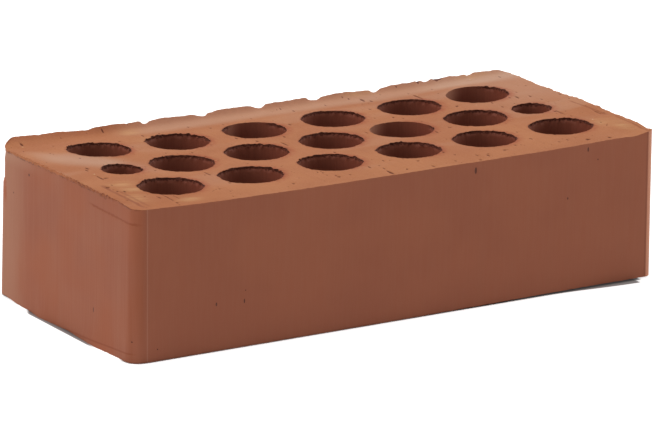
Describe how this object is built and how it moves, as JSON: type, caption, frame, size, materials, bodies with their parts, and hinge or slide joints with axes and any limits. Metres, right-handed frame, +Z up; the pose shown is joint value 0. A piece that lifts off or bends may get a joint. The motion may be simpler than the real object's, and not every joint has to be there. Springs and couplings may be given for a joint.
{
  "type": "clay brick",
  "caption": "Rectangular fired-clay facing brick with rounded upright arrises and rows of round holes running through it from bed face to bed face.",
  "frame": {"origin": "centre of the lower bed face, which is the bottom of the brick", "axes": "+X along the stretcher faces, +Y along the header faces from the front stretcher to the back one, +Z up through the holes"},
  "size_m": [0.25, 0.12, 0.065],
  "materials": {
    "fired_clay": "matt fired clay, smooth on the die-formed faces and dragged on the cut faces"
  },
  "bodies": {
    "root": {"brick": "fired_clay"}
  },
  "joints": []
}
